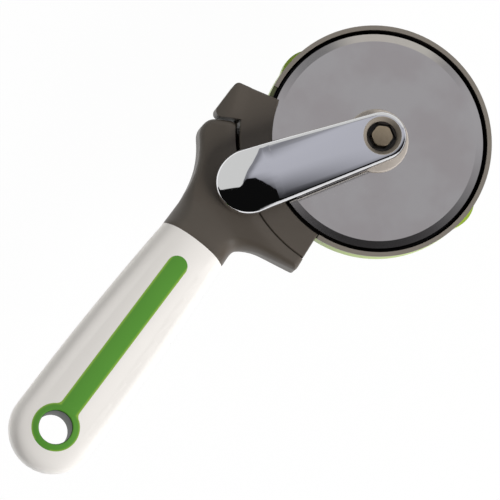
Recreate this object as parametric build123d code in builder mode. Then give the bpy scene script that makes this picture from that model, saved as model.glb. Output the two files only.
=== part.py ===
from build123d import *

import os
from math import cos, radians, sin, sqrt

# Pizza cutter with a chrome arm on the front, a lift-off blade guard and a thumb release.
# The cutter lies on its back: +Z points at the viewer and +X runs from the hang hole to the wheel.
# The origin is on the axis of the hang hole, halfway through the handle. All sizes are in millimetres.

# Handle
handle_t = 18.0
handle_end_r = 18.1
handle_edge_r = 7.0
joint_x = 94.9
joint_half_w = 14.8
joint_bulge = 1.6
hang_hole_r = 6.8
hang_hole_lip_r = 0.8
ring_r = 9.9
stripe_w = 8.7
stripe_end_x = 87.2
stripe_depth = 1.6
stripe_blend_r = 3.0

# Tang of the neck in the handle, with a key on each face that locks it
tang_l = 52.0
tang_w = 19.0
tang_t = 9.0
tang_play = 0.1
tang_bevel = 1.5
key_x = 62.0
key_l = 10.0
key_w = 6.0
key_h = 1.0

# Wheel, with its centre seen from the hang hole
wheel_x = 176.6
wheel_y = -34.8
blade_r = 44.5
blade_t = 0.8
blade_edge_t = 0.1
bevel_w = 3.0
hub_r = 13.2
hub_t = 1.4
hub_edge_r = 0.7

# Axle stack
bolt_r = 2.5
bolt_head_af = 8.0
bolt_head_h = 3.5
bolt_head_chamfer = 0.5
bolt_seat_z = 11.4
bolt_turn = 0.0
washer_t = 0.8
washer_r = 5.0
sleeve_r = 3.95
sleeve_half_l = 2.0
play = 0.05
spigot_r = 5.2
nut_af = 8.0
nut_hex_h = 3.5
nut_h = 4.6
nut_collar_r = 3.7
nut_ring_r = 3.2
nut_ring_h = 0.8

# Guard
guard_r = 48.0
guard_wall = 1.8
guard_floor_t = 1.2
guard_top_z = 0.4
guard_edge_r = 2.4
guard_inner_edge_r = 1.2
rim_top_z = 1.3
rim_start = 185.2
rim_end = 459.3
rim_key_w = 0.6
rim_key_h = 1.0
bump_angles = (84.0, 267.0)
bump_out = 1.3
bump_half_w = 5.5
bump_top_z = -0.6
bump_blend_r = 4.0

# Front surface of the block and the wings: its height over the distance from the wheel's axis
lip_r = 43.8
low_lip_r = 47.0
low_lip_start = 147.0
lip_low_z = 1.7
lip_z = 4.0
lip_bevel = 0.5
foot_z = 5.2
ridge_r = 63.0
ridge_z = 6.4

# Neck: a root that continues the handle, then a plate with two wings. Angles are about the wheel's axis
root_end_x = 110.0
root_end_y = -14.2
root_fall_x = 96.6
shoulder_x = 108.5
wing_r = 59.0
wing_start = 120.6
wing_end = 184.6
upper_side = [(100.0, 14.0), (112.0, 15.3), (132.6, 24.5)]
upper_tip_r = 68.9
lower_side = [(109.3, -25.5), (100.0, -12.0)]
lower_tip_r = 64.6
upper_corner_r = 2.6
lower_corner_r = 2.0
arc_corner_r = 1.0
plate_edge_r = 2.4
plate_back_edge_r = 1.2

# Sliding block with its tab
block_r = 58.6
block_gap_r = 57.5
block_gap_end = 140.0
block_start = 105.6
block_end = 184.3
block_inner_r = 49.4
block_back_z = -6.7
block_edge_w = 0.4
tab_end = 119.5
tab_y = 25.8
tab_far_r = 74.0
tab_edge_z = 1.8
tab_back_z = -5.0
tab_ridge_r = 62.4
tab_ridge_z = 6.2
tab_corner_r = 2.4

# Arc channel in the wings, and the tongue of the block that runs in it
channel_r = 62.4
channel_top_z = 0.6
channel_start = 123.5
channel_end = 182.8
tongue_r = 62.0
tongue_low_z = -3.2
tongue_top_z = 0.3
tongue_start = 135.5
tongue_end = 182.3

# Back cover: a plate with a rib that closes the channel and a shelf under the block
cover_t = 2.0
cover_inset = 1.6
cover_play = 0.1
rib_inner_r = 59.2
rib_top_z = -3.6
shelf_r = 49.6
shelf_start = 107.5
shelf_end = 183.6
shelf_outer_r = 58.8

# Return spring
spring_coil_r = 1.2
spring_wire_r = 0.2
spring_turns = 6
spring_angle = 129.5
spring_mid_r = 60.5
spring_mid_z = -1.5
spring_l = 11.4

# Arm, measured from the axle towards the handle
arm_angle = 146.3
arm_span = 57.9
arm_big_r = 13.4
arm_hub_r = 10.1
arm_back_z = 6.8
arm_top_z = 15.6
arm_crown_r = 90.0
arm_bend_start = 46.0
arm_bend_r = 60.0
arm_bend_turn = 32.0
arm_edge_r = 1.9
arm_foot_edge_r = 0.8
arm_boss_r = 6.6
funnel_r = 7.9
funnel_low_r = 6.1
pocket_af = 10.4
pocket_depth = 1.6
arm_root_near = 63.8
arm_root_far = 68.8
arm_root_half_w = 6.2
arm_root_corner_r = 1.5
arm_root_z = -4.0

# Screws
arm_screw_r = 1.5
arm_screw_head_r = 2.8
arm_screw_head_h = 1.8
arm_screw_offset = 3.8
arm_screw_tip_z = 4.0
cover_screw_r = 1.3
cover_screw_head_r = 2.5
cover_screw_cone_h = 1.2
cover_screw_l = 7.5
cover_screw_spots = [(131.0, 67.5), (161.5, 67.5), (153.3, 77.5)]
cover_margin = 0.4
drive_l = 3.0
drive_w = 0.7
drive_depth = 0.9

back_z = -handle_t / 2
hub_top_z = blade_t / 2 + hub_t
boss_z = sleeve_half_l + washer_t
nut_back_z = -boss_z - nut_h
arm_screw_back_z = back_z + cover_t + tang_play
nut_ring_z = nut_back_z + 0.2
rim_key_mid_r = guard_r - guard_wall / 2
arm_screw_distance = (arm_root_near + arm_root_far) / 2
axle = Axis((wheel_x, wheel_y, 0), (0, 0, 1))
wheel_plane = Plane((wheel_x, wheel_y, 0))
arm_direction = (cos(radians(arm_angle)), sin(radians(arm_angle)), 0)
arm_plane = Plane((wheel_x, wheel_y, 0), x_dir=arm_direction, z_dir=(0, 0, 1))


def radial_plane(angle):
    """Upright plane through the wheel's axis: its x is the distance from the axis and its y is the height."""
    outward = (cos(radians(angle)), sin(radians(angle)), 0)
    return Plane((wheel_x, wheel_y, 0), x_dir=outward, z_dir=(outward[1], -outward[0], 0))


def polar(radius, angle):
    """Point of the XY plane at this distance and direction from the wheel's axis."""
    return (wheel_x + radius * cos(radians(angle)), wheel_y + radius * sin(radians(angle)))


def ring_sector(profile, start, end, mode=Mode.ADD):
    """Turns a closed profile of (distance, height) corners about the wheel's axis from one angle to another."""
    with BuildSketch(radial_plane(start)) as section:
        with BuildLine():
            Polyline(*profile, close=True)
        make_face()
    revolve(section.sketch, axis=axle, revolution_arc=end - start, mode=mode)


def block_of(low_r, high_r, low_z, high_z):
    """Corners of a plain rectangular profile for ring_sector."""
    return [(low_r, low_z), (high_r, low_z), (high_r, high_z), (low_r, high_z)]


def block_height(distance):
    """Height of the block's front, which rises evenly from the lip to the foot of the wings."""
    rise = (foot_z - lip_z) / (block_r - block_edge_w - lip_r - lip_bevel)
    return lip_z + rise * (distance - lip_r - lip_bevel)


cover_screw_places = [polar(distance, angle) for angle, distance in cover_screw_spots]
rim_key = block_of(
    rim_key_mid_r - rim_key_w / 2, rim_key_mid_r + rim_key_w / 2, guard_top_z - rim_key_h, guard_top_z
)

# White handle: one rounded bar with a round end
with BuildPart() as handle_form:
    with BuildSketch(Plane.XY.offset(back_z)):
        with BuildLine():
            JernArc((0, handle_end_r), (-1, 0), handle_end_r, 180)
            TangentArc((0, -handle_end_r), (joint_x, -joint_half_w), tangent=(1, 0))
            ThreePointArc((joint_x, -joint_half_w), (joint_x + joint_bulge, 0), (joint_x, joint_half_w))
            TangentArc((0, handle_end_r), (joint_x, joint_half_w), tangent=(1, 0))
        make_face()
    extrude(amount=handle_t)
    outline_edges = handle_form.edges().filter_by(
        lambda edge: abs(abs(edge.center().Z) - handle_t / 2) < 0.01 and edge.center().X < joint_x - 1
    )
    fillet(outline_edges, handle_edge_r)

# Plan of the green inlay: a ring round the hang hole that runs out into a stripe with a round end
with BuildSketch() as inlay_plan:
    Circle(ring_r)
    with Locations((stripe_end_x / 2, 0)):
        SlotOverall(stripe_end_x, stripe_w)
    inner_corners = inlay_plan.vertices().filter_by(lambda v: 0 < v.X < ring_r and abs(v.Y) < ring_r)
    fillet(inner_corners, stripe_blend_r)

with BuildPart() as handle_shell:
    add(handle_form.part)
    with BuildSketch(Plane.XY.offset(back_z)):
        Circle(ring_r)
    extrude(amount=handle_t, mode=Mode.SUBTRACT)
    for recess_z in (back_z, -back_z - stripe_depth):
        with BuildSketch(Plane.XY.offset(recess_z)):
            add(inlay_plan.sketch)
        extrude(amount=stripe_depth, mode=Mode.SUBTRACT)
    with BuildSketch(Plane.XY.offset(-tang_t / 2 - tang_play)):
        with Locations((joint_x - tang_l - tang_play, 0)):
            Rectangle(tang_l + 2 * joint_bulge, tang_w + 2 * tang_play, align=(Align.MIN, Align.CENTER))
    extrude(amount=tang_t + 2 * tang_play, mode=Mode.SUBTRACT)
    key_room_h = tang_t + 2 * key_h + 2 * tang_play
    with BuildSketch(Plane.XY.offset(-key_room_h / 2)):
        with Locations((key_x, 0)):
            Rectangle(key_l + 2 * tang_play, key_w + 2 * tang_play)
    extrude(amount=key_room_h, mode=Mode.SUBTRACT)

with BuildPart() as grip_inlay:
    with BuildSketch(Plane.XY.offset(back_z)):
        Circle(ring_r)
    extrude(amount=handle_t)
    for recess_z in (back_z, -back_z - stripe_depth):
        with BuildSketch(Plane.XY.offset(recess_z)):
            add(inlay_plan.sketch)
        extrude(amount=stripe_depth)
    add(handle_form.part, mode=Mode.INTERSECT)
    with BuildSketch(Plane.XY.offset(back_z)):
        Circle(hang_hole_r)
    extrude(amount=handle_t, mode=Mode.SUBTRACT)
    hole_edges = grip_inlay.edges().filter_by(GeomType.CIRCLE).filter_by(
        lambda edge: abs(edge.radius - hang_hole_r) < 0.01
    )
    fillet(hole_edges, hang_hole_lip_r)

# Taupe neck: the root has the handle's section and falls to the level of the plate
with BuildPart() as neck_root:
    with BuildSketch(Plane.XY.offset(back_z)):
        with BuildLine():
            ThreePointArc((joint_x, joint_half_w), (joint_x + joint_bulge, 0), (joint_x, -joint_half_w))
            Polyline(
                (joint_x, -joint_half_w),
                (root_end_x, root_end_y),
                (root_end_x, joint_half_w),
                (joint_x, joint_half_w),
            )
        make_face()
    extrude(amount=handle_t)
    long_edges = neck_root.edges().filter_by(
        lambda edge: abs(abs(edge.center().Z) - handle_t / 2) < 0.01
        and joint_x + 2 < edge.center().X < root_end_x - 1
    )
    fillet(long_edges, handle_edge_r)
    with BuildSketch(Plane.XZ.offset(-handle_end_r)):
        with BuildLine():
            Spline((root_fall_x, -back_z), (shoulder_x, ridge_z), tangents=((1, 0), (1, 0)))
            Polyline(
                (shoulder_x, ridge_z),
                (root_end_x + 1, ridge_z),
                (root_end_x + 1, handle_t),
                (root_fall_x, handle_t),
                (root_fall_x, -back_z),
            )
        make_face()
    extrude(amount=2 * handle_end_r, mode=Mode.SUBTRACT)

# Plan of the plate with its two wings
with BuildSketch() as plate_plan:
    with BuildLine():
        upper_run = Line(upper_side[0], upper_side[1])
        upper_curve = TangentArc(upper_side[1], upper_side[2], tangent=upper_run % 1)
        TangentArc(upper_side[2], polar(upper_tip_r, wing_start), tangent=upper_curve % 1)
        Line(polar(upper_tip_r, wing_start), polar(wing_r, wing_start))
        ThreePointArc(
            polar(wing_r, wing_start),
            polar(wing_r, (wing_start + wing_end) / 2),
            polar(wing_r, wing_end),
        )
        Line(polar(wing_r, wing_end), polar(lower_tip_r, wing_end))
        lower_run = Line(polar(lower_tip_r, wing_end), lower_side[0])
        TangentArc(lower_side[0], lower_side[1], tangent=lower_run % 1)
        Line(lower_side[1], upper_side[0])
    make_face()
    fillet(plate_plan.vertices().sort_by_distance((*polar(upper_tip_r, wing_start), 0))[0], upper_corner_r)
    fillet(plate_plan.vertices().sort_by_distance((*polar(lower_tip_r, wing_end), 0))[0], lower_corner_r)
    fillet(plate_plan.vertices().sort_by_distance((*polar(wing_r, wing_start), 0))[0], arc_corner_r)


def is_outer(edge):
    """True for an edge of the plate's outline that faces neither the wheel nor the root."""
    middle = edge.center()
    distance = sqrt((middle.X - wheel_x) ** 2 + (middle.Y - wheel_y) ** 2)
    return distance > wing_r + 0.5 and middle.X > upper_side[0][0] + 0.5


with BuildPart() as neck_housing:
    with BuildSketch(Plane.XY.offset(back_z)):
        add(plate_plan.sketch)
    extrude(amount=ridge_z - back_z)
    fillet(neck_housing.edges().group_by(Axis.Z)[-1].filter_by(is_outer), plate_edge_r)
    fillet(neck_housing.edges().group_by(Axis.Z)[0].filter_by(is_outer), plate_back_edge_r)
    # The wings slope down from the ridge to the wheel
    slope = [
        (wing_r - 1, foot_z),
        (wing_r, foot_z),
        (ridge_r, ridge_z),
        (ridge_r, ridge_z + 1),
        (wing_r - 1, ridge_z + 1),
    ]
    ring_sector(slope, wing_start - 4, wing_end + 3, Mode.SUBTRACT)
    add(neck_root.part)
    # Tang with its two keys
    with BuildSketch(Plane.XY.offset(-tang_t / 2)):
        with Locations((joint_x - tang_l, 0)):
            Rectangle(tang_l + 2 * joint_bulge, tang_w, align=(Align.MIN, Align.CENTER))
    extrude(amount=tang_t)
    tang_nose = neck_housing.faces().sort_by(Axis.X)[0].edges()
    chamfer(tang_nose, tang_bevel)
    with BuildSketch(Plane.XY.offset(-tang_t / 2 - key_h)):
        with Locations((key_x, 0)):
            Rectangle(key_l, key_w)
    extrude(amount=tang_t + 2 * key_h)
    # Arc channel, open to the back until the cover's rib closes it
    ring_sector(block_of(wing_r - 1, channel_r, back_z - 1, channel_top_z), channel_start, channel_end, Mode.SUBTRACT)
    # Recess of the back cover
    with BuildSketch(Plane.XY.offset(back_z)):
        add(plate_plan.sketch)
        offset(amount=-cover_inset, kind=Kind.INTERSECTION, mode=Mode.REPLACE)
    extrude(amount=cover_t, mode=Mode.SUBTRACT)
    ring_sector(
        block_of(wing_r - 1, ridge_r, back_z - 1, back_z + cover_t), channel_start, channel_end, Mode.SUBTRACT
    )
    # Pocket for the root of the arm, with its two screw holes
    with BuildSketch(arm_plane.offset(arm_root_z)):
        with Locations((arm_screw_distance, 0)):
            RectangleRounded(
                arm_root_far - arm_root_near + 2 * play, 2 * (arm_root_half_w + play), arm_root_corner_r + play
            )
    extrude(amount=ridge_z - arm_root_z + 1, mode=Mode.SUBTRACT)
    with BuildSketch(arm_plane.offset(back_z + cover_t)):
        with Locations((arm_screw_distance, arm_screw_offset), (arm_screw_distance, -arm_screw_offset)):
            Circle(arm_screw_head_r + tang_play)
    extrude(amount=arm_screw_head_h + tang_play, mode=Mode.SUBTRACT)
    with BuildSketch(arm_plane.offset(back_z + cover_t)):
        with Locations((arm_screw_distance, arm_screw_offset), (arm_screw_distance, -arm_screw_offset)):
            Circle(arm_screw_r + play)
    extrude(amount=arm_root_z - back_z - cover_t, mode=Mode.SUBTRACT)
    # Blind holes for the screws of the cover
    with BuildSketch(Plane.XY.offset(back_z + cover_t)):
        with Locations(*cover_screw_places):
            Circle(cover_screw_r + play)
    extrude(amount=cover_screw_l - cover_t + play, mode=Mode.SUBTRACT)

with BuildPart() as neck_back_cover:
    with BuildSketch(Plane.XY.offset(back_z)):
        add(plate_plan.sketch)
        offset(amount=-cover_inset - cover_play, kind=Kind.INTERSECTION, mode=Mode.REPLACE)
    extrude(amount=cover_t)
    cover_room = block_of(shelf_r, ridge_r - cover_play, back_z, back_z + cover_t)
    ring_sector(cover_room, channel_start + cover_margin, channel_end - cover_margin)
    ring_sector(block_of(shelf_r, shelf_outer_r, back_z, back_z + cover_t), shelf_start, shelf_end)
    ring_sector(
        block_of(rib_inner_r, channel_r - cover_play, back_z, rib_top_z),
        channel_start + cover_margin,
        channel_end - cover_margin,
    )
    for spot in cover_screw_places:
        with Locations((*spot, back_z)):
            Cone(
                cover_screw_head_r + play,
                cover_screw_r + play,
                cover_screw_cone_h,
                align=(Align.CENTER, Align.CENTER, Align.MIN),
                mode=Mode.SUBTRACT,
            )
            Cylinder(cover_screw_r + play, 2 * cover_t, mode=Mode.SUBTRACT)

with BuildPart() as cover_screws:
    for spot in cover_screw_places:
        with Locations((*spot, back_z)):
            Cone(
                cover_screw_head_r,
                cover_screw_r,
                cover_screw_cone_h,
                align=(Align.CENTER, Align.CENTER, Align.MIN),
            )
            Cylinder(cover_screw_r, cover_screw_l, align=(Align.CENTER, Align.CENTER, Align.MIN))
            Box(drive_l, drive_w, 2 * drive_depth, mode=Mode.SUBTRACT)
            Box(drive_w, drive_l, 2 * drive_depth, mode=Mode.SUBTRACT)

# Crown of the arm's front: straight from the axle, then bent down towards the neck
with BuildPart() as arm_crown:
    crown_half_w = arm_big_r + 2
    crown_side_z = arm_top_z - arm_crown_r + sqrt(arm_crown_r**2 - crown_half_w**2)
    crown_start = arm_plane.from_local_coords((-crown_half_w, 0, 0))
    with BuildSketch(Plane(crown_start, x_dir=arm_plane.y_dir, z_dir=arm_plane.x_dir)) as crown_section:
        with BuildLine():
            ThreePointArc((-crown_half_w, crown_side_z), (0, arm_top_z), (crown_half_w, crown_side_z))
            Polyline(
                (crown_half_w, crown_side_z),
                (crown_half_w, 0),
                (-crown_half_w, 0),
                (-crown_half_w, crown_side_z),
            )
        make_face()
    extrude(amount=crown_half_w + arm_bend_start)
    bend_centre = arm_plane.from_local_coords((arm_bend_start, 0, arm_top_z - arm_bend_r))
    bend_face = crown_section.sketch.moved(Location(arm_plane.x_dir * (crown_half_w + arm_bend_start)))
    revolve(bend_face, axis=Axis(bend_centre, arm_plane.y_dir), revolution_arc=arm_bend_turn)

# Chrome arm: a tapered bar with that crown, rolled over at its edge
with BuildPart() as arm:
    with BuildSketch(arm_plane.offset(arm_back_z)):
        Circle(arm_hub_r)
        with Locations((arm_span, 0)):
            Circle(arm_big_r)
        make_hull()
    extrude(amount=arm_top_z - arm_back_z + 1)
    add(arm_crown.part, mode=Mode.INTERSECT)
    with BuildSketch(radial_plane(0)) as funnel_section:
        with BuildLine():
            Polyline(
                (0, bolt_seat_z + pocket_depth),
                (funnel_low_r, bolt_seat_z + pocket_depth),
                (funnel_r, arm_top_z),
                (funnel_r, arm_top_z + 1),
                (0, arm_top_z + 1),
                close=True,
            )
        make_face()
    revolve(axis=axle, mode=Mode.SUBTRACT)
    rim_edges = arm.edges().filter_by(
        lambda edge: edge.bounding_box().min.Z > arm_back_z + 2 and not edge.is_closed
    )
    fillet(rim_edges, arm_edge_r)
    fillet(arm.edges().group_by(Axis.Z)[0], arm_foot_edge_r)
    # Boss that meets the washer at the axle, and the root that sits in the neck
    with BuildSketch(arm_plane.offset(boss_z)):
        Circle(arm_boss_r)
    extrude(amount=arm_back_z - boss_z + 1)
    with BuildSketch(arm_plane.offset(arm_root_z)):
        with Locations((arm_screw_distance, 0)):
            RectangleRounded(arm_root_far - arm_root_near, 2 * arm_root_half_w, arm_root_corner_r)
    extrude(amount=arm_back_z - arm_root_z + 1)
    with BuildSketch(arm_plane.offset(arm_root_z)):
        with Locations((arm_screw_distance, arm_screw_offset), (arm_screw_distance, -arm_screw_offset)):
            Circle(arm_screw_r + play)
    extrude(amount=arm_screw_tip_z - arm_root_z + play, mode=Mode.SUBTRACT)
    # Hexagonal pocket and bore for the bolt
    with BuildSketch(wheel_plane.offset(bolt_seat_z)):
        RegularPolygon(pocket_af / 2, 6, major_radius=False, rotation=bolt_turn)
    extrude(amount=pocket_depth + 1, mode=Mode.SUBTRACT)
    with BuildSketch(wheel_plane.offset(boss_z)):
        Circle(bolt_r + play)
    extrude(amount=bolt_seat_z - boss_z, mode=Mode.SUBTRACT)

with BuildPart() as arm_screws:
    screw_base = arm_plane.offset(arm_screw_back_z)
    for side in (arm_screw_offset, -arm_screw_offset):
        with BuildSketch(screw_base):
            with Locations((arm_screw_distance, side)):
                Circle(arm_screw_head_r)
        extrude(amount=arm_screw_head_h)
        with BuildSketch(screw_base):
            with Locations((arm_screw_distance, side)):
                Circle(arm_screw_r)
        extrude(amount=arm_screw_tip_z - arm_screw_back_z)
        with BuildSketch(screw_base):
            with Locations((arm_screw_distance, side)):
                Rectangle(drive_l, drive_w)
                Rectangle(drive_w, drive_l)
        extrude(amount=drive_depth, mode=Mode.SUBTRACT)

# Axle stack: bolt, washer, sleeve, washer and lock nut
with BuildPart() as axle_bolt:
    with BuildSketch(wheel_plane.offset(bolt_seat_z)):
        RegularPolygon(bolt_head_af / 2, 6, major_radius=False, rotation=bolt_turn)
    extrude(amount=bolt_head_h)
    with BuildSketch(radial_plane(0)):
        with BuildLine():
            Polyline(
                (0, bolt_seat_z),
                (bolt_head_af, bolt_seat_z),
                (bolt_head_af, bolt_seat_z + bolt_head_h - 2 * bolt_head_chamfer),
                (bolt_head_af / 2 - bolt_head_chamfer / 2, bolt_seat_z + bolt_head_h),
                (0, bolt_seat_z + bolt_head_h),
                close=True,
            )
        make_face()
    revolve(axis=axle, mode=Mode.INTERSECT)
    with BuildSketch(wheel_plane.offset(nut_back_z)):
        Circle(bolt_r)
    extrude(amount=bolt_seat_z - nut_back_z)

with BuildPart() as front_washer:
    with BuildSketch(wheel_plane.offset(sleeve_half_l)):
        Circle(washer_r)
        Circle(bolt_r + play, mode=Mode.SUBTRACT)
    extrude(amount=washer_t)

with BuildPart() as axle_sleeve:
    with BuildSketch(wheel_plane.offset(-sleeve_half_l)):
        Circle(sleeve_r)
        Circle(bolt_r + play, mode=Mode.SUBTRACT)
    extrude(amount=2 * sleeve_half_l)

with BuildPart() as back_washer:
    with BuildSketch(wheel_plane.offset(-sleeve_half_l - washer_t)):
        Circle(washer_r)
        Circle(bolt_r + play, mode=Mode.SUBTRACT)
    extrude(amount=washer_t)

with BuildPart() as lock_nut:
    with BuildSketch(wheel_plane.offset(-boss_z - nut_hex_h)):
        RegularPolygon(nut_af / 2, 6, major_radius=False)
    extrude(amount=nut_hex_h)
    with BuildSketch(wheel_plane.offset(nut_back_z)):
        Circle(nut_collar_r)
    extrude(amount=nut_h)
    chamfer(lock_nut.edges().group_by(Axis.Z)[0], bolt_head_chamfer)
    with BuildSketch(wheel_plane.offset(nut_back_z)):
        Circle(bolt_r + play)
    extrude(amount=nut_h, mode=Mode.SUBTRACT)
    with BuildSketch(wheel_plane.offset(nut_ring_z)):
        Circle(nut_ring_r)
    extrude(amount=nut_ring_h, mode=Mode.SUBTRACT)

with BuildPart() as nut_ring:
    with BuildSketch(wheel_plane.offset(nut_ring_z)):
        Circle(nut_ring_r)
        Circle(bolt_r + play, mode=Mode.SUBTRACT)
    extrude(amount=nut_ring_h)

# Wheel: ground disc between two hub halves, of which the back one carries the bearing spigot
with BuildPart() as blade:
    ring_sector(
        [
            (spigot_r, -blade_t / 2),
            (blade_r - bevel_w, -blade_t / 2),
            (blade_r, -blade_edge_t / 2),
            (blade_r, blade_edge_t / 2),
            (blade_r - bevel_w, blade_t / 2),
            (spigot_r, blade_t / 2),
        ],
        0,
        360,
    )

with BuildPart() as hub_front:
    with BuildSketch(wheel_plane.offset(blade_t / 2)):
        Circle(hub_r)
    extrude(amount=hub_t)
    fillet(hub_front.edges().group_by(Axis.Z)[-1], hub_edge_r)
    with BuildSketch(wheel_plane.offset(blade_t / 2)):
        Circle(spigot_r)
    extrude(amount=hub_t, mode=Mode.SUBTRACT)

with BuildPart() as hub_back:
    with BuildSketch(wheel_plane.offset(-hub_top_z)):
        Circle(hub_r)
    extrude(amount=hub_t)
    fillet(hub_back.edges().group_by(Axis.Z)[0], hub_edge_r)
    with BuildSketch(wheel_plane.offset(-hub_top_z)):
        Circle(spigot_r)
    extrude(amount=2 * hub_top_z)
    with BuildSketch(wheel_plane.offset(-hub_top_z)):
        Circle(sleeve_r + play)
    extrude(amount=2 * hub_top_z, mode=Mode.SUBTRACT)

# Tab of the sliding block: its front rises to the ridge and falls away to the thumb's side
with BuildPart() as tab_form:
    tab_front = [
        (block_gap_r - 1, tab_back_z),
        (tab_far_r, tab_back_z),
        (tab_far_r, tab_edge_z),
        (tab_ridge_r, tab_ridge_z),
        (block_gap_r - 1, block_height(block_gap_r - 1)),
    ]
    ring_sector(tab_front, block_start, tab_end)
    with BuildSketch(Plane.XY.offset(back_z)):
        with Locations((wheel_x, tab_y)):
            Rectangle(4 * tab_far_r, 2 * tab_far_r, align=(Align.CENTER, Align.MIN))
    extrude(amount=handle_t, mode=Mode.SUBTRACT)
    tab_corners = tab_form.edges().filter_by(Axis.Z).group_by(Axis.Y)[-1]
    fillet(tab_corners, tab_corner_r)

# Sliding block: it bridges the wings, laps over the wheel's edge and runs in the channel on its tongue.
# Its lip reaches in over the blade on the tab's side of the arm, and stops at the grey rim on the other side
with BuildPart() as release_saddle:
    block_section = [
        (block_inner_r, block_back_z),
        (block_r, block_back_z),
        (block_r, block_height(block_r) - block_edge_w),
        (block_r - block_edge_w, block_height(block_r - block_edge_w)),
        (lip_r + lip_bevel, lip_z),
        (lip_r, lip_z - lip_bevel),
        (lip_r, lip_low_z),
        (block_inner_r, lip_low_z),
    ]
    ring_sector(block_section, block_start, block_end)
    # Wider gap beside the tab, and the shorter lip on the far side of the arm, each with its bevelled edge
    gap_cut = [
        (block_gap_r, block_back_z - 1),
        (block_gap_r, block_height(block_gap_r) - block_edge_w),
        (block_gap_r - block_edge_w, block_height(block_gap_r - block_edge_w)),
        (block_gap_r - block_edge_w, foot_z + 1),
        (block_r + 1, foot_z + 1),
        (block_r + 1, block_back_z - 1),
    ]
    ring_sector(gap_cut, block_start - 1, block_gap_end, Mode.SUBTRACT)
    low_lip_z = block_height(low_lip_r + lip_bevel)
    low_lip_cut = [
        (lip_r - 1, lip_low_z - 1),
        (low_lip_r, lip_low_z - 1),
        (low_lip_r, low_lip_z - lip_bevel),
        (low_lip_r + lip_bevel, low_lip_z),
        (low_lip_r + lip_bevel, low_lip_z + 1),
        (lip_r - 1, low_lip_z + 1),
    ]
    ring_sector(low_lip_cut, low_lip_start, block_end + 1, Mode.SUBTRACT)
    end_edges = release_saddle.edges().filter_by(
        lambda edge: edge.center().Z > lip_z + lip_bevel / 2 and edge.length > block_gap_r - block_inner_r
    )
    chamfer(end_edges.filter_by(GeomType.LINE), block_edge_w)
    add(tab_form.part)
    ring_sector(block_of(block_gap_r - 1, tongue_r, tongue_low_z, tongue_top_z), tongue_start, tongue_end)

with BuildPart() as return_spring:
    spring_axis = radial_plane(spring_angle)
    spring_foot = spring_axis.from_local_coords((spring_mid_r, spring_mid_z, spring_l / 2))
    with BuildLine():
        coil = Helix(
            spring_l / spring_turns,
            spring_l,
            spring_coil_r,
            center=spring_foot,
            direction=-spring_axis.z_dir,
        )
    with BuildSketch(Plane(coil @ 0, z_dir=coil % 0)):
        RegularPolygon(spring_wire_r, 6)
    sweep(path=coil, is_frenet=True)

# Guard: green cup with two finger bumps, and a thin grey open ring keyed into its edge
bump_r = (bump_half_w**2 + bump_out**2) / (2 * bump_out)
with BuildPart() as guard_cup:
    with BuildSketch(wheel_plane.offset(back_z)) as guard_plan:
        Circle(guard_r)
        for bump_angle in bump_angles:
            with PolarLocations(guard_r + bump_out - bump_r, 1, start_angle=bump_angle):
                Circle(bump_r)
        fillet(guard_plan.vertices().filter_by(lambda corner: abs(corner.X) < 2 * bump_half_w), bump_blend_r)
    extrude(amount=bump_top_z - back_z)
    fillet(guard_cup.edges().group_by(Axis.Z)[0], guard_edge_r)
    with BuildSketch(wheel_plane.offset(bump_top_z)):
        Circle(guard_r)
    extrude(amount=guard_top_z - bump_top_z)
    with BuildSketch(wheel_plane.offset(back_z + guard_floor_t)):
        Circle(guard_r - guard_wall)
    extrude(amount=guard_top_z - back_z, mode=Mode.SUBTRACT)
    floor_edge = guard_cup.edges().filter_by(GeomType.CIRCLE).filter_by(
        lambda edge: abs(edge.center().Z - back_z - guard_floor_t) < 0.01
    )
    fillet(floor_edge, guard_inner_edge_r)
    ring_sector(rim_key, rim_start, rim_end, Mode.SUBTRACT)

with BuildPart() as guard_rim:
    ring_sector(block_of(guard_r - guard_wall, guard_r, guard_top_z, rim_top_z), rim_start, rim_end)
    ring_sector(rim_key, rim_start, rim_end)

pieces = {
    "handle_shell": handle_shell,
    "grip_inlay": grip_inlay,
    "neck_housing": neck_housing,
    "neck_back_cover": neck_back_cover,
    "cover_screws": cover_screws,
    "arm": arm,
    "arm_screws": arm_screws,
    "axle_bolt": axle_bolt,
    "front_washer": front_washer,
    "axle_sleeve": axle_sleeve,
    "back_washer": back_washer,
    "lock_nut": lock_nut,
    "nut_ring": nut_ring,
    "blade": blade,
    "hub_front": hub_front,
    "hub_back": hub_back,
    "release_saddle": release_saddle,
    "return_spring": return_spring,
    "guard_cup": guard_cup,
    "guard_rim": guard_rim,
}
os.makedirs("parts", exist_ok=True)
for piece_name, piece in pieces.items():
    piece.part.label = piece_name
    export_step(piece.part, f"parts/{piece_name}.step")
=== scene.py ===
from math import cos, pi, radians, sin

import bpy
import numpy as np
from mathutils import Matrix, Vector


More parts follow.
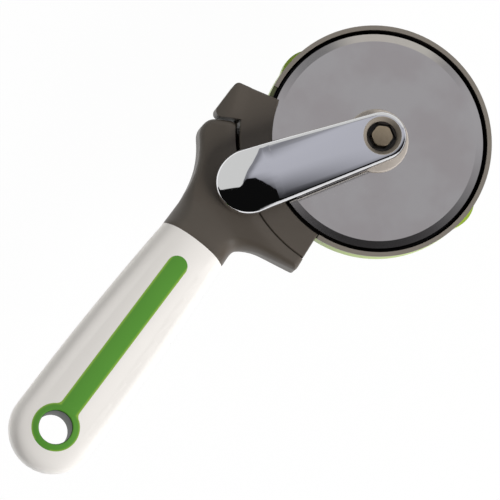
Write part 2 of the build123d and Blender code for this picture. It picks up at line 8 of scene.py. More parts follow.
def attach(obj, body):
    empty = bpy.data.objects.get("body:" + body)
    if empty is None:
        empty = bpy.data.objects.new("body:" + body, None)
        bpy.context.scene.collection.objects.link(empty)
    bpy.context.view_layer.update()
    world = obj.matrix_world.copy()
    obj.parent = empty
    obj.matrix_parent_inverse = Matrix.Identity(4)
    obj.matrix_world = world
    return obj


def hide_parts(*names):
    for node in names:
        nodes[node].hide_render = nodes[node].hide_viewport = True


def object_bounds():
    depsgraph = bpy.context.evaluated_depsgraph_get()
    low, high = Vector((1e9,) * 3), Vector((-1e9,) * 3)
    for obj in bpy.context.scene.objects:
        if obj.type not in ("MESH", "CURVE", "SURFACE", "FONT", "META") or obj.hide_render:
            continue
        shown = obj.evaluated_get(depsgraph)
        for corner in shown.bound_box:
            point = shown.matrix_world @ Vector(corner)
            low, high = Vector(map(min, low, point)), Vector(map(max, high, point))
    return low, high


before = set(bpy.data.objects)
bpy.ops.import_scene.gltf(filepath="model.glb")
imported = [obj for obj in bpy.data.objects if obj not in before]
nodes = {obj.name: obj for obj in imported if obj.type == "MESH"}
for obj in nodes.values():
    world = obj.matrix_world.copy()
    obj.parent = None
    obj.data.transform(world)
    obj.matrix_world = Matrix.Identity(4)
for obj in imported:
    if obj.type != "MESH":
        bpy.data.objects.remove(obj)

cad_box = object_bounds()
scene = bpy.context.scene

# The photographer's view: the cutter lies flat and is seen from the front, turned so that the handle
# runs down to the left. The long lens keeps the far end of the handle as large as the wheel.
view_tilt = radians(11.2886)
view_turn = radians(-10.7782)
view_roll = radians(42.1002)
view_distance = 2.6
view_target = Vector((0.1082669, -0.0201328, 0.0))
sensor_width = 36.0
lens_to_sensor = 12.7208
up_on_table = Vector((cos(view_turn), sin(view_turn), 0.0))
to_viewer = Vector((0.0, 0.0, cos(view_tilt))) - up_on_table * sin(view_tilt)
level_up = up_on_table * cos(view_tilt) + Vector((0.0, 0.0, sin(view_tilt)))
level_right = level_up.cross(to_viewer)
image_right = level_up * cos(view_roll) + level_right * sin(view_roll)
image_up = level_up * sin(view_roll) - level_right * cos(view_roll)
camera_data = bpy.data.cameras.new("view")
camera_data.sensor_width = sensor_width
camera_data.lens = lens_to_sensor * sensor_width
camera_data.clip_end = 50.0
camera = bpy.data.objects.new("view", camera_data)
scene.collection.objects.link(camera)
camera.matrix_world = Matrix.Translation(view_target + to_viewer * view_distance) @ Matrix(
    (image_right, image_up, to_viewer)
).transposed().to_4x4()
scene.camera = camera
scene.view_settings.view_transform = "Standard"

# Handle: moulded from glossy white plastic with a very fine mould texture, and pushed over the neck's tang.
# The helpers for materials and smooth shading come first, because this is the first piece that needs them.
class Field:
    """One socket of a material. Sums, products and powers are written as in Python, and add Math nodes."""

    def __init__(self, tree, socket):
        self.tree = tree
        self.socket = socket

    def node(self, kind, settings, inputs, output=0):
        """Adds a node: its settings first, then the values or links of its sockets, and gives one output."""
        made = self.tree.nodes.new(kind)
        for name, value in settings.items():
            if name == "stops":
                ramp = made.color_ramp
                while len(ramp.elements) < len(value):
                    ramp.elements.new(1.0)
                for element, (position, colour) in zip(ramp.elements, value):
                    element.position = position
                    element.color = colour
            else:
                setattr(made, name, value)
        for name, value in inputs.items():
            if isinstance(value, Field):
                self.tree.links.new(value.socket, made.inputs[name])
            else:
                made.inputs[name].default_value = value
        return Field(self.tree, made.outputs[output])

    def math(self, operation, first, second=0.0):
        """One operation on two numbers or fields."""
        return self.node("ShaderNodeMath", {"operation": operation}, {0: first, 1: second})

    def vector_math(self, operation, first, second, output=0):
        """The same on two places or arrows. Output 1 is the one for a number."""
        return self.node("ShaderNodeVectorMath", {"operation": operation}, {0: first, 1: second}, output)

    def __add__(self, other):
        return self.math("ADD", self, other)

    __radd__ = __add__

    def __sub__(self, other):
        return self.math("SUBTRACT", self, other)

    def __rsub__(self, other):
        return self.math("SUBTRACT", other, self)

    def __mul__(self, other):
        return self.math("MULTIPLY", self, other)

    __rmul__ = __mul__

    def __truediv__(self, other):
        return self.math("DIVIDE", self, other)

    def __pow__(self, other):
        return self.math("POWER", self, other)

    def at_least(self, other):
        """The larger of the field and this value."""
        return self.math("MAXIMUM", self, other)

    def at_most(self, other):
        """The smaller of the field and this value."""
        return self.math("MINIMUM", self, other)

    def over(self, low, high):
        """0 below low and 1 above high, with a soft step between them. High may be the smaller one."""
        return self.node(
            "ShaderNodeMapRange",
            {"interpolation_type": "SMOOTHSTEP", "clamp": True},
            {"Value": self, "From Min": low, "From Max": high},
        )

    def blend(self, low, high):
        """The colour low where the field is 0 and high where it is 1. Inputs 6 and 7 hold these colours."""
        return self.node(
            "ShaderNodeMix",
            {"data_type": "RGBA", "clamp_factor": True},
            {"Factor": self, 6: low, 7: high},
            output=2,
        )

    def noise(self, scale, detail=2.0):
        """Cloudy noise between 0 and 1 at this many lumps a metre, read at the field as a place."""
        return self.node("ShaderNodeTexNoise", {}, {"Vector": self, "Scale": scale, "Detail": detail})

    def share(self, direction):
        """How far the field, as an arrow, points along this direction."""
        return self.vector_math("DOT_PRODUCT", self, direction, output=1)

    def reach(self, centre):
        """Distance of the field, as a place, from the upright axis through this centre."""
        moved = self.vector_math("SUBTRACT", self, centre)
        flat = self.vector_math("MULTIPLY", moved, (1.0, 1.0, 0.0))
        return self.vector_math("LENGTH", flat, (0.0, 0.0, 0.0), output=1)

    def parts(self):
        """The field's three components."""
        split = self.node("ShaderNodeSeparateXYZ", {}, {"Vector": self})
        return [Field(self.tree, out) for out in split.socket.node.outputs]

    def bump(self, strength, distance):
        """A normal from the field as a height."""
        return self.node("ShaderNodeBump", {}, {"Height": self, "Strength": strength, "Distance": distance})


finishes = {}


def place_of(name):
    """Starts a material and gives the place on the piece, in metres."""
    material = bpy.data.materials.new(name)
    material.use_nodes = True
    finishes[name] = material
    tree = material.node_tree
    coordinates = tree.nodes.new("ShaderNodeTexCoord")
    return Field(tree, coordinates.outputs["Object"])


def finish(name, colour, roughness, metallic=0.0, normal=None):
    """Closes a material: what varies is given as fields, and plain numbers go on the shader's own sockets."""
    material = finishes[name]
    surface = material.node_tree.nodes["Principled BSDF"]
    given = {"Base Color": colour, "Roughness": roughness, "Metallic": metallic, "Normal": normal}
    for key, value in given.items():
        if isinstance(value, Field):
            material.node_tree.links.new(value.socket, surface.inputs[key])
        elif value is not None:
            surface.inputs[key].default_value = value
    return material


def smooth_by_angle(name, degrees):
    """Geometry nodes that shade a mesh smooth, but keep an edge sharp where faces meet at a larger angle."""
    group = bpy.data.node_groups.new(name, "GeometryNodeTree")
    group.interface.new_socket("Geometry", in_out="INPUT", socket_type="NodeSocketGeometry")
    group.interface.new_socket("Geometry", in_out="OUTPUT", socket_type="NodeSocketGeometry")
    start = group.nodes.new("NodeGroupInput")
    end = group.nodes.new("NodeGroupOutput")
    faces = group.nodes.new("GeometryNodeSetShadeSmooth")
    faces.domain = "FACE"
    edges = group.nodes.new("GeometryNodeSetShadeSmooth")
    edges.domain = "EDGE"
    angle = group.nodes.new("GeometryNodeInputMeshEdgeAngle")
    limit = group.nodes.new("FunctionNodeCompare")
    limit.data_type = "FLOAT"
    limit.operation = "LESS_THAN"
    limit.inputs[1].default_value = radians(degrees)
    group.links.new(start.outputs[0], faces.inputs["Geometry"])
    group.links.new(faces.outputs[0], edges.inputs["Geometry"])
    group.links.new(angle.outputs["Unsigned Angle"], limit.inputs[0])
    group.links.new(limit.outputs[0], edges.inputs["Shade Smooth"])
    group.links.new(edges.outputs[0], end.inputs[0])
    return group


weld_reach = 0.000002
soft_edges = smooth_by_angle("soft_edges", 35.0)


def dress(node, finish_name):
    """Gives a CAD node its finish, joins its loose triangles and shades its curves smooth."""
    piece = nodes[node]
    piece.data.materials.clear()
    piece.data.materials.append(finishes[finish_name])
    weld = piece.modifiers.new("weld", "WELD")
    weld.merge_threshold = weld_reach
    smooth = piece.modifiers.new("soft_edges", "NODES")
    smooth.node_group = soft_edges
    return piece


crown_height = 0.0011
crown_reach = 0.018
side_start = 0.011
side_taper = 0.0337
side_softness = 40.0


def handle_crown(place):
    """Height in metres that shades the handle. It is a cosine of the distance from the middle line or, past
    the hang hole, from the hole, and steepest halfway to the edge. The square of the distance past the start
    of the rounded side, which comes nearer as the handle narrows, makes that side look less steep."""
    along, aside, _ = place.parts()
    beyond_end = along.at_most(0.0)
    off_middle = (aside * aside + beyond_end * beyond_end) ** 0.5
    beside = (off_middle - (side_start - side_taper * along.at_least(0.0))).at_least(0.0)
    crown = off_middle.math("COSINE", off_middle * (pi / crown_reach))
    return crown_height * crown + side_softness * beside * beside


white_shade = (0.83, 0.795, 0.755, 1.0)
white_light = (0.85, 0.815, 0.775, 1.0)
mould_grain = 0.000004
place = place_of("white_handle")
mottle = place.noise(60.0, 3.0)
grain = place.noise(4200.0, 2.0)
finish(
    "white_handle",
    mottle.blend(white_shade, white_light),
    0.3 + 0.08 * mottle,
    normal=(handle_crown(place) + mould_grain * grain).bump(1.0, 1.0),
)
dress("handle_shell", "white_handle")

# Grip stripe and hang-hole ring: green rubbery plastic, moulded into the front and the back of the handle.
# A painted highlight runs along its edges, and the wall of the hole is painted dark as shade.
hang_hole = (0.0, 0.0, 0.0)
stripe_half = 0.00415
ring_radius = 0.0099
edge_highlight_width = 0.0009
hole_edge = (0.0071, 0.0069)
green_shade = (0.075, 0.26, 0.024, 1.0)
green_light = (0.095, 0.29, 0.03, 1.0)
green_painted_highlight = (0.27, 0.45, 0.05, 1.0)
green_painted_shade = (0.012, 0.035, 0.008, 1.0)
rubber_grain = 0.00001
place = place_of("green_grip")
mottle = place.noise(45.0, 3.0)
grain = place.noise(3000.0, 3.0)
off_stripe = place.math("ABSOLUTE", place.parts()[1]) - stripe_half
off_ring = place.reach(hang_hole) - ring_radius
# Painted highlight: a paler green along the edges of the stripe and the ring.
edge_highlight = off_stripe.at_most(off_ring).over(-edge_highlight_width, 0.0)
# Painted shade: the wall of the hang hole is coloured near black.
hole_wall_shade = place.reach(hang_hole).over(*hole_edge)
green = (0.8 * edge_highlight).blend(mottle.blend(green_shade, green_light), green_painted_highlight)
finish(
    "green_grip",
    hole_wall_shade.blend(green, green_painted_shade),
    0.45 + 0.1 * mottle,
    normal=(handle_crown(place) + rubber_grain * grain).bump(1.0, 1.0),
)
dress("grip_inlay", "green_grip")

# Neck, back cover and sliding block: moulded from taupe grey plastic with a satin face. The neck goes into
# the handle with a tang, the cover is screwed on behind it, and the block slides in the arc channel of its
# two wings. The neck is a new mesh, because its root and its wings flow into each other.
taupe_shade = (0.07, 0.057, 0.045, 1.0)
taupe_light = (0.083, 0.069, 0.055, 1.0)
place = place_of("taupe_plastic")
mottle = place.noise(70.0, 3.0)
grain = place.noise(3600.0, 3.0)
finish(
    "taupe_plastic",
    mottle.blend(taupe_shade, taupe_light),
    0.4 + 0.08 * mottle,
    normal=grain.bump(0.1, 0.0001),
)
for piece_name in ("neck_back_cover", "release_saddle"):
    dress(piece_name, "taupe_plastic")

# Sizes of the neck in millimetres, and directions in degrees about the wheel's axis. The plan comes first:
# the joint with the handle, the upper side, the lower side and the arc round the wheel.
wheel_x = 176.6
wheel_y = -34.8
joint_x = 94.9
joint_half = 14.8
joint_bow = 1.6
upper_straight_end = (107.4, 14.8)
upper_waist = (112.0, 15.3)
upper_bend = (132.6, 24.5)
upper_heading = (12.0, 1.3)
upper_wing_reach = 68.9
upper_wing_angle = 120.6
upper_tip_reach = 60.1
lower_straight_end = (101.0, -14.6)
lower_waist = (100.0, -12.0)
lower_bend = (109.3, -25.5)
lower_arc_top = -15.0
lower_wing_reach = 64.6
corner_blur = 0.9
arc_start = 121.4
arc_end = 184.6
arc_reach = 59.4
arc_reach_low = 59.0
arc_step = (122.0, 141.0)
# Heights of its front and back, and the radii of its rounded sides.
joint_z = 9.0
back_z = -8.85
root_drop = 4.6
root_fall = (96.2, 114.0)
shoulder_drop = 1.8
shoulder_fall = (95.2, 101.0)
joint_blend = (98.0, 94.9)
ridge_z = 6.4
ridge_reach = 63.0
ridge_round = 1.2
outer_slope = 0.12
inner_slope = 0.3
crease_round = 0.9
handle_side_r = 7.0
wing_front_r = 2.4
wing_back_r = 1.2
side_fade = (102.0, 117.0)
# Channel of the block, with its two ends as shares of the arc.
channel_depth = 3.4
channel_ceiling_z = 0.6
channel_first_end = (0.12, 0.14)
channel_last_end = (0.95, 0.93)
neck_rows = 130
neck_columns = 100
arc_points = 60
blur_points = 900
edge_points = 500


def polar(radius, angle):
    """Points of the plan at these distances and directions from the wheel's axis: the distance times the
    cosine and the sine of the direction, from the wheel's centre."""
    turn = np.radians(angle)
    return np.stack((wheel_x + radius * np.cos(turn), wheel_y + radius * np.sin(turn)), axis=-1)


def arc(start, end, heading):
    """Points of the circular arc that leaves start in this heading and reaches end, and its last heading. The
    centre lies square to the heading, at the chord squared over twice its part across the heading."""
    start, end = np.array(start, float), np.array(end, float)
    heading = np.array(heading, float) / np.hypot(*heading)
    side = np.array((-heading[1], heading[0]))
    chord = end - start
    radius = chord @ chord / (2 * chord @ side)
    centre = start + side * radius
    turn = 2 * np.arctan2(chord @ side, chord @ heading)
    angles = np.linspace(0.0, turn, arc_points)[:, None]
    points = centre + radius * (np.sin(angles) * heading - np.cos(angles) * side)
    return points, heading * np.cos(turn) + side * np.sin(turn)


def even(points, count, blur=0.0):
    """The same line in points at equal steps. Where a blur is given, its corners are rounded first: each of
    many points becomes the mean of those beside it, weighted by a bell curve this many millimetres wide."""
    points = np.array(points, float)
    for width, number in ((blur, blur_points), (0.0, count)):
        run = np.concatenate(([0.0], np.cumsum(np.hypot(*np.diff(points, axis=0).T))))
        at = np.linspace(0.0, run[-1], number)
        points = np.stack([np.interp(at, run, points[:, axis]) for axis in (0, 1)], axis=1)
        if width:
            steps = width * number / run[-1]
            reach = int(3 * steps)
            weight = np.exp(-0.5 * (np.arange(-reach, reach + 1) / steps) ** 2)
            weight /= weight.sum()
            before = 2 * points[0] - points[reach:0:-1]
            after = 2 * points[-1] - points[-2 : -reach - 2 : -1]
            padded = np.concatenate((before, points, after))
            points = np.stack([np.convolve(padded[:, axis], weight, "valid") for axis in (0, 1)], axis=1)
    return points


def smooth_step(value, low, high):
    """0 below low, 1 above high and a soft rise between: three times the square less twice the cube."""
    share = np.clip((value - low) / (high - low), 0.0, 1.0)
    return share * share * (3 - 2 * share)


def soft_max(first, second, width):
    """The larger of two heights with a rounded crease: half of their sum and of the root of the squares of
    their difference and of this width."""
    return (first + second + np.sqrt((first - second) ** 2 + width**2)) / 2


def neck_sides():
    """The two side lines of the plan, from the handle to the wheel. The upper one is a straight, two arcs
    that flow into each other, and the cut end of the wing. The lower one is a straight, an arc and the cut
    end of the other wing."""
    waist, heading = arc(upper_waist, upper_bend, upper_heading)
    wing_end = polar(upper_wing_reach, upper_wing_angle)
    wing, _ = arc(upper_bend, wing_end, heading)
    tip = [wing_end, polar(upper_tip_reach, upper_wing_angle), polar(arc_reach, arc_start)]
    upper = np.concatenate(([(joint_x, joint_half), upper_straight_end], waist, wing, tip))
    wing_end = polar(lower_wing_reach, arc_end)
    hollow, _ = arc(lower_bend, lower_waist, lower_bend - wing_end)
    hollow = hollow[::-1]
    hollow = hollow[hollow[:, 1] < lower_arc_top]
    tip = [wing_end, polar(arc_reach_low, arc_end)]
    lower = np.concatenate(([(joint_x, -joint_half), lower_straight_end], hollow, tip))
    return even(upper, neck_rows, corner_blur), even(lower, neck_rows, corner_blur)


def neck_front(x, out, across):
    """Height of the front, as the larger of the root and the wings. The root falls in one soft step along
    the neck and in a second one towards its sides. The wings are a cone each way from a ridge round the
    wheel. Next to the joint the front keeps the height of the handle."""
    root = joint_z - root_drop * smooth_step(x, *root_fall)
    root = root - shoulder_drop * smooth_step(x, *shoulder_fall) * (2 * across - 1) ** 2
    wings = ridge_z - outer_slope * soft_max(out - ridge_reach, 0.0, ridge_round)
    wings = wings - inner_slope * soft_max(ridge_reach - out, 0.0, ridge_round)
    front = soft_max(root, wings, crease_round)
    return front + (joint_z - front) * smooth_step(x, *joint_blend)


def quads_between(lines, others):
    """Faces with four corners between each line of points and the one beside it, as whole arrays. They point
    outwards where, seen from outside, the other line lies on the left of the first one."""
    quads = np.stack((lines[..., :-1], lines[..., 1:], others[..., 1:], others[..., :-1]), axis=-1)
    return quads.reshape(-1, 4)


def neck_mesh():
    """The neck as one shell. Its plan is a patch between the side lines, the joint and the arc round the
    wheel: each inner point is the mean of the two side lines and of the two end lines, less that of the
    corners. Towards the sides both faces drop on a quarter circle, whose radius shrinks from the handle's to
    the wings'. The wall round the wheel steps back under the front and leaves the block's channel."""
    upper, lower = neck_sides()
    across = (1 - np.cos(np.linspace(0.0, np.pi, neck_columns))) / 2
    joint_y = joint_half * (1 - 2 * across)
    joint = np.stack((joint_x + joint_bow * (1 - (joint_y / joint_half) ** 2), joint_y), axis=1)
    angles = arc_start + (arc_end - arc_start) * across
    rim = polar(arc_reach - (arc_reach - arc_reach_low) * smooth_step(angles, *arc_step), angles)
    along = np.linspace(0.0, 1.0, neck_rows)[:, None, None]
    over = across[None, :, None]
    sides = upper[:, None] * (1 - over) + lower[:, None] * over
    ends = joint[None] * (1 - along) + rim[None] * along
    joint_corners = joint[0] * (1 - over) + joint[-1] * over
    rim_corners = rim[0] * (1 - over) + rim[-1] * over
    plan = sides + ends - (joint_corners * (1 - along) + rim_corners * along)
    edges = np.concatenate((even(upper, edge_points), even(lower, edge_points)))
    gaps = plan[:, :, None] - edges
    inset = np.hypot(gaps[..., 0], gaps[..., 1]).min(axis=2)
    inset[:, [0, -1]] = 0.0
    x = plan[..., 0]
    front_z = neck_front(x, np.hypot(x - wheel_x, plan[..., 1] - wheel_y), across)
    points = []
    for level, way, wing_r in ((front_z, -1, wing_front_r), (back_z, 1, wing_back_r)):
        radius = handle_side_r + (wing_r - handle_side_r) * smooth_step(x, *side_fade)
        share = np.clip(1 - inset / radius, 0.0, 1.0)
        height = level + way * radius * (1 - np.sqrt(1 - share**2))
        points.append(np.dstack((plan, height)).reshape(-1, 3))
    depth = channel_depth * smooth_step(across, *channel_first_end) * smooth_step(across, *channel_last_end)
    axle = np.array((wheel_x, wheel_y))
    behind = axle + (rim - axle) * (1 + depth / arc_reach_low)[:, None]
    for line, height in ((rim, channel_ceiling_z), (behind, channel_ceiling_z), (behind, back_z)):
        points.append(np.column_stack((line, np.full(neck_columns, height))))
    number = neck_rows * neck_columns
    front = np.arange(number).reshape(neck_rows, neck_columns)
    back = front + number
    channel = np.arange(3 * neck_columns).reshape(3, neck_columns) + 2 * number
    steps = np.concatenate((front[-1:], channel))
    quads = [
        quads_between(front[:-1], front[1:]),
        quads_between(back[1:], back[:-1]),
        quads_between(front[:, 0], back[:, 0]),
        quads_between(back[:, -1], front[:, -1]),
        quads_between(back[0], front[0]),
        quads_between(steps[:-1], steps[1:]),
    ]
    mesh = bpy.data.meshes.new("neck")
    mesh.from_pydata((np.concatenate(points) * 0.001).tolist(), [], np.concatenate(quads).tolist())
    return mesh


neck = bpy.data.objects.new("neck", neck_mesh())
scene.collection.objects.link(neck)
neck.data.materials.append(finishes["taupe_plastic"])
neck.modifiers.new("soft_edges", "NODES").node_group = soft_edges
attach(neck, "handle")
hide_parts("neck_housing")

# Arm: cast in metal, polished and chromed, and screwed to the neck at its root. Its face is flat over the
# axle and gets rounder towards the root. The funnel for the bolt head is dull, with painted shadow at its
# bottom.
wheel_centre = (wheel_x * 0.001, wheel_y * 0.001, 0.0)
arm_angle = radians(146.3)
arm_way = (cos(arm_angle), sin(arm_angle), 0.0)
arm_side = (-arm_way[1], arm_way[0], 0.0)
axle_along = wheel_centre[0] * arm_way[0] + wheel_centre[1] * arm_way[1]
axle_aside = wheel_centre[0] * arm_side[0] + wheel_centre[1] * arm_side[1]
axle_flatness = 4.9
flatness_fade = 107.0
root_start = 0.049
root_roundness = 680.0
funnel_edge = (0.0082, 0.0078)
funnel_level = (0.0112, 0.0114)
bottom_edge = (0.0064, 0.0062)
bottom_level = (0.01325, 0.0131)
chrome = (0.86, 0.86, 0.88, 1.0)
funnel_grey = (0.27, 0.235, 0.195, 1.0)
funnel_painted_shadow = (0.015, 0.011, 0.008, 1.0)
place = place_of("arm_chrome")
haze = place.noise(240.0, 3.0)
along = place.share(arm_way) - axle_along
aside = place.share(arm_side) - axle_aside
flatter = (axle_flatness - flatness_fade * along).at_most(axle_flatness).at_least(0.0)
rounder = (root_roundness * (along - root_start)).at_least(0.0)
crown = flatter - rounder
off_axle = place.reach(wheel_centre)
level = place.parts()[2]
funnel = off_axle.over(*funnel_edge) * level.over(*funnel_level)
# Painted shadow: the pocket round the bolt head, at the funnel's bottom, is coloured near black.
bottom = off_axle.over(*bottom_edge) * level.over(*bottom_level)
finish(
    "arm_chrome",
    funnel.blend(chrome, bottom.blend(funnel_grey, funnel_painted_shadow)),
    0.02 + 0.03 * haze + 0.35 * funnel,
    metallic=1.0 - funnel,
    normal=(crown * aside * aside).bump(1.0, 1.0),
)
dress("arm", "arm_chrome")

# Axle bolt, washers, lock nut and screws: zinc plated steel, turned and pressed, with a dull yellowish face.
# The six corners of the bolt head carry painted shade, standing in for the shade of the funnel over them.
corner_reach = (0.0041, 0.0044)
corner_level = (0.011, 0.0114)
zinc_shade = (0.40, 0.32, 0.22, 1.0)
zinc_light = (0.5, 0.41, 0.30, 1.0)
corner_painted_shade = (0.06, 0.045, 0.03, 1.0)
place = place_of("zinc_steel")
haze = place.noise(900.0, 4.0)
# Painted shade on the six corners at the top of the bolt head.
head_corner_shade = place.reach(wheel_centre).over(*corner_reach) * place.parts()[2].over(*corner_level)
finish(
    "zinc_steel",
    head_corner_shade.blend(haze.blend(zinc_shade, zinc_light), corner_painted_shade),
    0.34 + 0.15 * haze,
    metallic=1.0,
    normal=haze.bump(0.05, 0.0001),
)
for piece_name in ("cover_screws", "arm_screws", "axle_bolt", "front_washer", "back_washer", "lock_nut"):
    dress(piece_name, "zinc_steel")

# Inside the neck and the axle: the drawn wire spring that returns the block, the turned brass sleeve on which
# the wheel runs, and the nylon ring that keeps the lock nut from working loose.
spring_grey = (0.5, 0.5, 0.52, 1.0)
brass = (0.7, 0.5, 0.2, 1.0)
nylon = (0.7, 0.72, 0.65, 1.0)
place = place_of("spring_steel")
finish("spring_steel", spring_grey, 0.3 + 0.1 * place.noise(2000.0), metallic=1.0)
dress("return_spring", "spring_steel")
place = place_of("sleeve_brass")
finish("sleeve_brass", brass, 0.25 + 0.1 * place.noise(1200.0), metallic=1.0)
dress("axle_sleeve", "sleeve_brass")
place = place_of("nylon_ring")
finish("nylon_ring", nylon, 0.4 + 0.1 * place.noise(800.0))
dress("nut_ring", "nylon_ring")

# Cutting disc: stainless steel sheet, satin polished in fine rings on the flats and ground to a bevel. The
# bevel is only 13 degrees off the flat, so edges are kept crisp from a smaller angle than elsewhere.
steel_shade = (0.615, 0.575, 0.54, 1.0)
steel_light = (0.665, 0.64, 0.60, 1.0)
place = place_of("blade_steel")
from_axle = place.reach(wheel_centre)
rings = from_axle.node(
    "ShaderNodeTexNoise",
    {"noise_dimensions": "1D"},
    {"W": from_axle, "Scale": 9000.0, "Detail": 2.0},
)
haze = place.noise(45.0, 3.0)
finish(
    "blade_steel",
    haze.over(0.35, 0.65).blend(steel_shade, steel_light),
    0.07 + 0.05 * haze,
    metallic=1.0,
    normal=rings.bump(0.02, 0.00005),
)
blade = dress("blade", "blade_steel")
blade.modifiers["soft_edges"].node_group = smooth_by_angle("crisp_edges", 6.0)

# Hub halves: moulded beige plastic discs on both faces of the blade. The back one has the bearing spigot,
# which goes through the blade and turns on the sleeve.
beige_shade = (0.46, 0.41, 0.36, 1.0)
beige_light = (0.5, 0.45, 0.4, 1.0)
place = place_of("hub_plastic")
haze = place.noise(200.0, 3.0)
finish(
    "hub_plastic",
    haze.blend(beige_shade, beige_light),
    0.35 + 0.1 * haze,
    normal=haze.bump(0.05, 0.0001),
)
dress("hub_front", "hub_plastic")
dress("hub_back", "hub_plastic")

# Guard: a moulded yellow green cup with two finger bumps, with painted shade inside it and on its upper
# edge, and a thin grey open ring that is keyed into that edge. It lifts off behind the wheel.
cup_wall_edge = (0.04655, 0.0463)
cup_floor_level = (-0.0082, -0.0079)
cup_top_level = (0.0002, 0.00035)
guard_shade = (0.30, 0.42, 0.04, 1.0)
guard_light = (0.36, 0.49, 0.05, 1.0)
guard_top_painted_shade = (0.07, 0.08, 0.03, 1.0)
guard_inside_painted_shade = (0.012, 0.010, 0.009, 1.0)
rim_shade = (0.19, 0.166, 0.14, 1.0)
rim_light = (0.22, 0.195, 0.165, 1.0)
place = place_of("green_guard")
haze = place.noise(50.0, 3.0)
cup_height = place.parts()[2]
# Painted shade: the inside of the cup, within its wall and above its floor, is coloured near black.
inside = place.reach(wheel_centre).over(*cup_wall_edge) * cup_height.over(*cup_floor_level)
# Painted shade: the cup's upper edge, above its top level, is coloured dark olive.
outside = cup_height.over(*cup_top_level).blend(haze.blend(guard_shade, guard_light), guard_top_painted_shade)
finish("green_guard", inside.blend(outside, guard_inside_painted_shade), 0.3 + 0.08 * haze)
dress("guard_cup", "green_guard")
place = place_of("rim_grey")
haze = place.noise(80.0, 3.0)
finish("rim_grey", haze.blend(rim_shade, rim_light), 0.35 + 0.1 * haze)
dress("guard_rim", "rim_grey")

# Floor: a white table, which shows as plain white to the camera and in mirrors. It lies 42 mm under the
# cutter, so that the guard stays above it when it is lifted off.
floor_drop = 0.042
floor_half = 4.0
floor_glow = 0.975
floor_white = (0.93, 0.93, 0.93, 1.0)
floor_z = cad_box[0].z - floor_drop
floor_corners = np.array([(-1, -1), (1, -1), (1, 1), (-1, 1)], float) * floor_half
floor_mesh = bpy.data.meshes.new("floor")
floor_mesh.from_pydata([(x, y, floor_z) for x, y in floor_corners], [], [(0, 1, 2, 3)])
floor = bpy.data.objects.new("floor", floor_mesh)
scene.collection.objects.link(floor)
place_of("floor_white")
floor_material = finish("floor_white", floor_white, 0.8)
tree = floor_material.node_tree
rays = tree.nodes.new("ShaderNodeLightPath")
seen = (
    Field(tree, rays.outputs["Is Camera Ray"])
    + Field(tree, rays.outputs["Is Glossy Ray"])
    + Field(tree, rays.outputs["Is Transmission Ray"])
)
glow = tree.nodes.new("ShaderNodeEmission")
glow.inputs["Color"].default_value = (1.0, 1.0, 1.0, 1.0)
mix = tree.nodes.new("ShaderNodeMixShader")
tree.links.new((floor_glow * seen).socket, mix.inputs[0])
tree.links.new(tree.nodes["Principled BSDF"].outputs[0], mix.inputs[1])
tree.links.new(glow.outputs[0], mix.inputs[2])
tree.links.new(mix.outputs[0], tree.nodes["Material Output"].inputs["Surface"])
floor_mesh.materials.append(floor_material)

# Studio: what the chrome mirrors, worked out from how far a direction points right and up in the picture. It
# is lavender grey overhead and darker towards the bottom, white at the top, on the left and low on the right,
# and black behind the photographer.
overhead_levels = (
    (-0.1, 0.01), (0.03, 0.035), (0.08, 0.11), (0.13, 0.22), (0.18, 0.33), (0.226, 0.43), (0.257, 0.48),
    (0.34, 0.50), (0.45, 0.50),
)
lavender = (0.97, 0.98, 1.08)
overhead_low = -0.1
overhead_span = 0.8
left_wall_start = 0.2
left_wall_span = 0.38
top_wall_span = 0.5
wall_edge = (1.0, 1.06)
wall_shade_edge = (0.35, 0.8)
wall_shade = 0.55
wall_right_end = (0.2, 0.1)
ceiling_edge = (0.62, 0.7)
patch_up = (0.43, 0.46)
patch_right = (0.18, 0.25)
black_top = 0.18
black_step = 0.15
black_step_edge = (-0.13, -0.23)
black_slope = 0.57
black_slope_start = -0.01
black_edge = 0.008
low_patch_up = (-0.4, -0.55)
low_patch_right = (0.0, 0.3)
black = (0.0, 0.0, 0.0, 1.0)
near_black = (0.004, 0.004, 0.004, 1.0)
wall_white = (0.66, 0.665, 0.65, 1.0)
patch_white = (0.68, 0.68, 0.67, 1.0)
low_patch_white = (0.8, 0.8, 0.8, 1.0)
plain_strength = 0.9
world = bpy.data.worlds.new("studio")
world.use_nodes = True
scene.world = world
tree = world.node_tree
sky = Field(tree, tree.nodes.new("ShaderNodeTexCoord").outputs["Generated"])
sky_right = sky.share(image_right)
sky_up = sky.share(image_up)
overhead_stops = [
    ((height - overhead_low) / overhead_span, (*(part * grey for part in lavender), 1.0))
    for height, grey in overhead_levels
]
overhead = sky_up.node(
    "ShaderNodeValToRGB",
    {"stops": overhead_stops},
    {"Fac": (sky_up - overhead_low) / overhead_span},
)
to_left = ((left_wall_start - sky_right) / left_wall_span).at_least(0.0)
to_top = (sky_up / top_wall_span).at_least(0.0)
corner = to_left**3.0 + to_top**3.0
studio = (wall_shade * corner.over(*wall_shade_edge)).blend(overhead, black)
patch = sky_up.over(*patch_up) * sky_right.over(*patch_right)
studio = patch.blend(studio, patch_white)
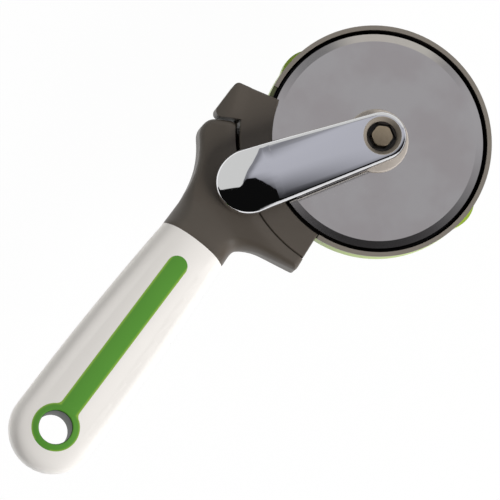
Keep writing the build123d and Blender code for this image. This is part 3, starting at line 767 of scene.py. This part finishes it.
white_wall = corner.over(*wall_edge) * sky_right.over(*wall_right_end)
white_wall = white_wall.at_least(sky_up.over(*ceiling_edge))
studio = white_wall.blend(studio, wall_white)
low_patch = sky_up.over(*low_patch_up) * sky_right.over(*low_patch_right)
studio = low_patch.blend(studio, low_patch_white)
black_line = black_top - black_step * sky_right.over(*black_step_edge)
black_line = black_line - black_slope * (sky_right - black_slope_start).at_least(0.0)
behind_camera = (sky_up - black_line).over(black_edge, -black_edge) * (1.0 - low_patch)
studio = behind_camera.blend(studio, near_black)
background = tree.nodes["Background"]
tree.links.new(studio.socket, background.inputs["Color"])
glossy = Field(tree, tree.nodes.new("ShaderNodeLightPath").outputs["Is Glossy Ray"])
strength = plain_strength + (1.0 - plain_strength) * glossy
tree.links.new(strength.socket, background.inputs["Strength"])

# Lamps: a strong soft one low down at the lower right that mirrors don't show, a weaker one in the same place
# that they do show, and a weak one from the left.
lamp_distance = 1.4
lamp_width = 0.7
flat_right = Vector((image_right.x, image_right.y, 0.0)).normalized()
flat_up = Vector((image_up.x, image_up.y, 0.0)).normalized()
key_direction = flat_right * 0.7 - flat_up * 0.46 + Vector((0.0, 0.0, 0.54))
fill_direction = -flat_right * 0.8 + flat_up * 0.3 + Vector((0.0, 0.0, 0.25))


def add_lamp(name, direction, watts, mirrored):
    """A square soft lamp that shines on the cutter's middle from this direction, mirrored in it or not."""
    lamp_data = bpy.data.lights.new(name, "AREA")
    lamp_data.shape = "SQUARE"
    lamp_data.size = lamp_width
    lamp_data.energy = watts
    lamp = bpy.data.objects.new(name, lamp_data)
    scene.collection.objects.link(lamp)
    aim = direction.normalized()
    turn = aim.to_track_quat("Z", "Y").to_matrix().to_4x4()
    lamp.matrix_world = Matrix.Translation(view_target + aim * lamp_distance) @ turn
    lamp.visible_glossy = mirrored


add_lamp("key", key_direction, watts=14.5, mirrored=False)
add_lamp("sheen", key_direction, watts=8.5, mirrored=True)
add_lamp("fill", fill_direction, watts=4.0, mirrored=False)
